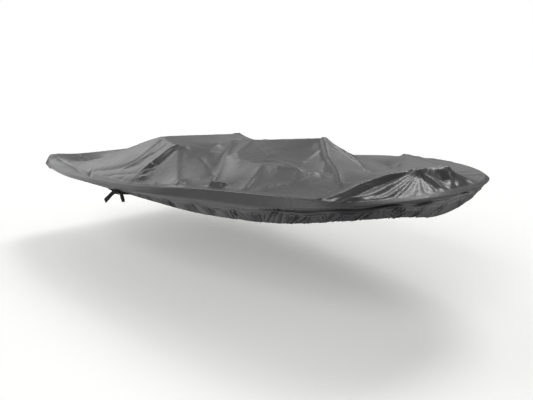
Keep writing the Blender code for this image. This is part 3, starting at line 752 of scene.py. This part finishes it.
def woven(tree, uv, pitches):
    """A plain weave of height -1 to 1: the sine of one way times the sine of the other. Each pitch is the
    length of two yarns, one over and one under."""
    waves = []
    for way, pitch in zip(uv, pitches):
        turn = add(tree, "Math", {0: way, 1: 2 * math.pi / pitch}, operation="MULTIPLY")[0]
        waves.append(add(tree, "Math", {0: turn}, operation="SINE")[0])
    return add(tree, "Math", {0: waves[1], 1: waves[0]}, operation="MULTIPLY")[0]


def coated_polyester(name, colour, sewn):
    """Polyester oxford, woven from 0.25 mm yarns and coated with polyurethane. The coating makes it stiff, so
    it keeps the thin crisp lines of its folding, and gives its face a half gloss that turns silvery where it
    lies flat to the light. sewn adds the row of stitches over the hem."""
    made, tree = new_finish(name)
    place = add(tree, "TexCoord")
    # Lines of folding and packing, 20 to 110 mm apart: thin ridges where a slow noise passes its middle
    # value. The closer they are, the lower.
    height = None
    for scale, wide in ((9.0, 0.030), (21.0, 0.045), (47.0, 0.08)):
        noise = {"Vector": place["Object"], "Scale": scale, "Detail": 1.0, "Roughness": 0.4}
        noise["Distortion"] = 0.5
        slow = add(tree, "TexNoise", noise)["Fac"]
        off = add(tree, "Math", {0: slow, 1: 0.5}, operation="SUBTRACT")[0]
        off = add(tree, "Math", {0: off}, operation="ABSOLUTE")[0]
        ends = {0: off, 1: 0.0, 2: wide, 3: 1.0, 4: 0.0}
        line = add(tree, "MapRange", ends, interpolation_type="SMOOTHSTEP")[0]
        share = 6.0 / scale
        before = 0.0 if height is None else height
        height = add(tree, "Math", {0: line, 1: share, 2: before}, operation="MULTIPLY_ADD")[0]
    # Where it was folded less it is smoother.
    patch = add(tree, "TexNoise", {"Vector": place["Object"], "Scale": 2.7, "Detail": 2.0})["Fac"]
    patch = add(tree, "MapRange", {0: patch, 1: 0.38, 2: 0.62, 3: 0.15, 4: 1.0})[0]
    height = add(tree, "Math", {0: height, 1: patch}, operation="MULTIPLY")[0]
    # The weave, drawn at 2 mm a yarn, eight times its real size, because a real yarn is too fine to show.
    uv = add(tree, "SeparateXYZ", {0: place["UV"]})
    weave = woven(tree, uv, (0.004, 0.004))
    height = add(tree, "Math", {0: weave, 1: 0.03, 2: height}, operation="MULTIPLY_ADD")[0]
    if sewn:
        # A row of stitches 13 mm over the hem: 3 mm long, 1 mm apart.
        off = add(tree, "Math", {0: uv[1], 1: 0.013}, operation="SUBTRACT")[0]
        off = add(tree, "Math", {0: off}, operation="ABSOLUTE")[0]
        row = add(tree, "MapRange", {0: off, 1: 0.0, 2: 0.0014, 3: 1.0, 4: 0.0})[0]
        along = add(tree, "Math", {0: uv[0], 1: 0.004}, operation="DIVIDE")[0]
        along = add(tree, "Math", {0: along}, operation="FRACT")[0]
        dash = add(tree, "Math", {0: along, 1: 0.75}, operation="LESS_THAN")[0]
        stitch = add(tree, "Math", {0: row, 1: dash}, operation="MULTIPLY")[0]
        height = add(tree, "Math", {0: stitch, 1: -0.7, 2: height}, operation="MULTIPLY_ADD")[0]
    bump = add(tree, "Bump", {"Strength": 0.5, "Distance": 0.0012, "Height": height})[0]
    noise = {"Vector": place["Object"], "Scale": 5.5, "Detail": 5.0, "Roughness": 0.6}
    dust = add(tree, "TexNoise", noise)["Fac"]
    dark, light = shades(colour, 0.88, 1.12)
    tint = add(tree, "Mix", {0: dust, 6: dark, 7: light}, data_type="RGBA")[2]
    gloss = add(tree, "MapRange", {0: dust, 1: 0.3, 2: 0.7, 3: 0.31, 4: 0.41})[0]
    shader = add(tree, "BsdfPrincipled", {"Base Color": tint, "Roughness": gloss, "Normal": bump, "IOR": 1.5,
                                          "Sheen Weight": 0.06, "Sheen Roughness": 0.5})
    add(tree, "OutputMaterial", {"Surface": shader[0]})
    return made


def woven_webbing(name, colour):
    """Black polyester webbing, a plain weave of thick yarns, 1.2 mm apart one way and 1.5 mm the other: matt,
    with a fine rib across it, painted shade in the hollows of the weave and a painted highlight on its
    crowns."""
    made, tree = new_finish(name)
    uv = add(tree, "SeparateXYZ", {0: add(tree, "TexCoord")["UV"]})
    weave = woven(tree, uv, (0.0024, 0.0030))
    bump = add(tree, "Bump", {"Strength": 0.6, "Distance": 0.0006, "Height": weave})[0]
    share = add(tree, "MapRange", {0: weave, 1: -1.0, 2: 1.0, 3: 0.0, 4: 1.0})[0]
    # painted shade in the weave's hollows and a painted highlight on its crowns, set by the height of the
    # weave
    deep, crown_painted_highlight = shades(colour, 0.7, 1.5)
    tint = add(tree, "Mix", {0: share, 6: deep, 7: crown_painted_highlight}, data_type="RGBA")[2]
    shader = add(tree, "BsdfPrincipled", {"Base Color": tint, "Roughness": 0.75, "Normal": bump,
                                          "Specular IOR Level": 0.25})
    add(tree, "OutputMaterial", {"Surface": shader[0]})
    return made


# ----------------------------------------------------------
# The stage: the floor's height, and the softboxes, each seen from the boat at a bearing (degrees from the bow
# towards port), a height (degrees over the horizon), a width (degrees) and with its light on what faces it.
FLOOR = -0.50
FLOOR_HALF = 40.0  # half the floor's width
FLOOR_GLOW = 0.22  # strength of the floor's own light, which keeps it as pale as the room behind it
SOFTBOXES = (
    # name, bearing, height, width, light
    ("port, low", 127, 10, 30, 0.075),
    ("port quarter, low", 150, 10, 24, 0.04),
    ("port, middle", 115, 47, 24, 0.92),
    ("port, high", 120, 60, 24, 0.30),
    ("stern, low", 165, 10, 24, 0.05),
    ("stern, middle", 170, 22, 24, 0.18),
    ("port quarter, middle", 160, 34, 24, 0.10),
    ("stern, high", 172, 47, 24, 0.24),
    ("starboard quarter, middle", 200, 34, 24, 0.22),
    ("starboard quarter, low", 240, 10, 40, 0.15),
    ("starboard, low", 270, 10, 40, 0.10),
    ("starboard, middle", 280, 34, 50, 1.30),
    ("bow, low", 60, 10, 50, 0.70),
    # what a pale floor throws back up
    ("floor, starboard", 225, -40, 90, 1.25),
    ("floor, bow", 45, -35, 60, 0.90),
)
ROOM_GLOW = 0.12  # strength of the room's light all round
CAMERA_PLACE = (2.84, -2.32, 0.71)
CAMERA_TURN = (76.57, 0.0, 49.1)  # degrees about X, Y and Z
CAMERA_LENS = 43.23  # mm, on a frame 36 mm wide


# ----------------------------------------------------------
# The add-on.


class BoatCoverSizes(bpy.types.PropertyGroup):
    """Sizes and colours of the cover that a user may change."""

    cloth_thickness: FloatProperty(
        name="Cloth thickness", description="Thickness of the coated cloth", default=0.0012, unit="LENGTH"
    )
    crease_depth: FloatProperty(
        name="Crease depth", description="Depth of the fine creases, 1 as made", default=1.0, subtype="FACTOR"
    )
    gathering: FloatProperty(
        name="Gathering", description="Depth of the hem's gathers, 1 as made", default=1.0, subtype="FACTOR"
    )
    strap_thickness: FloatProperty(
        name="Strap thickness", description="Thickness of the webbing", default=0.0016, unit="LENGTH"
    )
    cloth_colour: FloatVectorProperty(
        name="Cloth colour", description="Colour of the cloth",
        subtype="COLOR", size=4, default=linear("464647"),
    )
    webbing_colour: FloatVectorProperty(
        name="Webbing colour", description="Colour of the tie",
        subtype="COLOR", size=4, default=linear("0C0C0C"),
    )
    floor_colour: FloatVectorProperty(
        name="Floor colour", description="Colour of the floor",
        subtype="COLOR", size=4, default=linear("FAFAF8"),
    )


class BOATCOVER_OT_top(bpy.types.Operator):
    """Make the top cloth, drawn tight over the gunwale and what stands in the boat"""

    bl_idname = "boatcover.top"
    bl_label = "Top cloth"

    def execute(self, context):
        sizes = context.scene.boat_cover
        finish = coated_polyester("coated polyester, woven", sizes.cloth_colour, False)
        points = top_surface(sizes.crease_depth)
        quads = grid_quads(*points.shape[:2])
        normal = smooth_normals(points.reshape(-1, 3), quads).reshape(points.shape)
        aft, fore = slice(0, PANEL_CELLS + 1), slice(PANEL_CELLS, None)
        for name, rows, area in (("cover_top_aft", aft, 2.25), ("cover_top_fore", fore, 1.75)):
            mesh = top_mesh(name, points[rows], normal[rows], sizes.cloth_thickness)
            piece = as_piece(name, mesh, finish, "cover_cloth")
        return {"FINISHED"}


class BOATCOVER_OT_skirt(bpy.types.Operator):
    """Make the skirt that turns over the gunwale and gathers into the elastic hem"""

    bl_idname = "boatcover.skirt"
    bl_label = "Gathered skirt"

    def execute(self, context):
        sizes = context.scene.boat_cover
        finish = coated_polyester("coated polyester, sewn hem", sizes.cloth_colour, True)
        mesh = skirt_mesh(sizes.crease_depth, sizes.gathering, sizes.cloth_thickness)
        piece = as_piece("cover_skirt", mesh, finish, "cover_cloth")
        return {"FINISHED"}


class BOATCOVER_OT_tie(bpy.types.Operator):
    """Make the webbing tie: two free tails, the ends along the hem, and the knot"""

    bl_idname = "boatcover.tie"
    bl_label = "Webbing tie"

    def execute(self, context):
        sizes = context.scene.boat_cover
        finish = woven_webbing("polyester webbing, woven", sizes.webbing_colour)
        for name, rows in STRAPS.items():
            mesh = strap_mesh(name, rows, sizes.strap_thickness)
            piece = as_piece(name, mesh, finish, "webbing_tie")
        return {"FINISHED"}


class BOATCOVER_OT_stage(bpy.types.Operator):
    """Make the pale floor, the soft lights and the camera"""

    bl_idname = "boatcover.stage"
    bl_label = "Stage"

    def execute(self, context):
        scene = context.scene
        scene.view_settings.view_transform = "Standard"
        paint, tree = new_finish("matt floor paint")
        colour = scene.boat_cover.floor_colour
        inputs = {"Base Color": colour, "Roughness": 0.9}
        inputs.update({"Emission Color": colour, "Emission Strength": FLOOR_GLOW})
        shader = add(tree, "BsdfPrincipled", inputs)
        add(tree, "OutputMaterial", {"Surface": shader[0]})
        ways = ((-1, -1), (1, -1), (1, 1), (-1, 1))
        corners = np.array([(x * FLOOR_HALF, y * FLOOR_HALF, FLOOR) for x, y in ways])
        mesh = mesh_of("floor", corners, np.arange(4)[None], corners[None, :, :2])
        mesh.materials.append(paint)
        floor = bpy.data.objects.new("floor", mesh)
        scene.collection.objects.link(floor)
        # The floor is only seen. What it would throw back up comes from the two broad lights from below,
        # which can be set as low as a dark hull under the cover would leave it.
        floor.visible_diffuse = floor.visible_glossy = floor.visible_shadow = False
        for name, bearing, height, wide, light in SOFTBOXES:
            lamp = bpy.data.lights.new(name, "SUN")
            lamp.angle = math.radians(wide)
            lamp.energy = light
            box = bpy.data.objects.new(name, lamp)
            box.rotation_euler = (math.radians(90 - height), 0, math.radians(bearing + 90))
            scene.collection.objects.link(box)
        # The room glows a little all round, and is plain white behind the object.
        world = bpy.data.worlds.new("studio")
        world.use_nodes = True
        tree = world.node_tree
        tree.nodes.clear()
        seen = add(tree, "LightPath")["Is Camera Ray"]
        glow = add(tree, "Background", {"Color": (1.0, 1.0, 1.0, 1.0), "Strength": ROOM_GLOW})[0]
        white = add(tree, "Background", {"Color": (1.0, 1.0, 1.0, 1.0), "Strength": 1.0})[0]
        mixed = add(tree, "MixShader", {0: seen, 1: glow, 2: white})[0]
        add(tree, "OutputWorld", {"Surface": mixed})
        scene.world = world
        eye = bpy.data.cameras.new("camera")
        eye.lens = CAMERA_LENS
        eye.sensor_width = 36.0
        eye.sensor_fit = "HORIZONTAL"
        camera = bpy.data.objects.new("camera", eye)
        camera.location = CAMERA_PLACE
        camera.rotation_euler = tuple(math.radians(a) for a in CAMERA_TURN)
        scene.collection.objects.link(camera)
        scene.camera = camera
        return {"FINISHED"}


OPERATORS = (BOATCOVER_OT_top, BOATCOVER_OT_skirt, BOATCOVER_OT_tie, BOATCOVER_OT_stage)


class BOATCOVER_PT_panel(bpy.types.Panel):
    """Lists the cover's sizes and the pieces to make"""

    bl_idname = "BOATCOVER_PT_panel"
    bl_label = "Boat cover"
    bl_space_type = "VIEW_3D"
    bl_region_type = "UI"
    bl_category = "Boat Cover"

    def draw(self, context):
        sizes = context.scene.boat_cover
        for name in sizes.bl_rna.properties.keys():
            if name not in ("rna_type", "name"):
                self.layout.prop(sizes, name)
        for operator in OPERATORS:
            self.layout.operator(operator.bl_idname)


CLASSES = (BoatCoverSizes, *OPERATORS, BOATCOVER_PT_panel)


def register():
    for made in CLASSES:
        bpy.utils.register_class(made)
    bpy.types.Scene.boat_cover = PointerProperty(type=BoatCoverSizes)


def unregister():
    del bpy.types.Scene.boat_cover
    for made in reversed(CLASSES):
        bpy.utils.unregister_class(made)


def main():
    register()
    bpy.ops.boatcover.stage()
    bpy.ops.boatcover.top()
    bpy.ops.boatcover.skirt()
    bpy.ops.boatcover.tie()


if __name__ == "__main__":
    main()
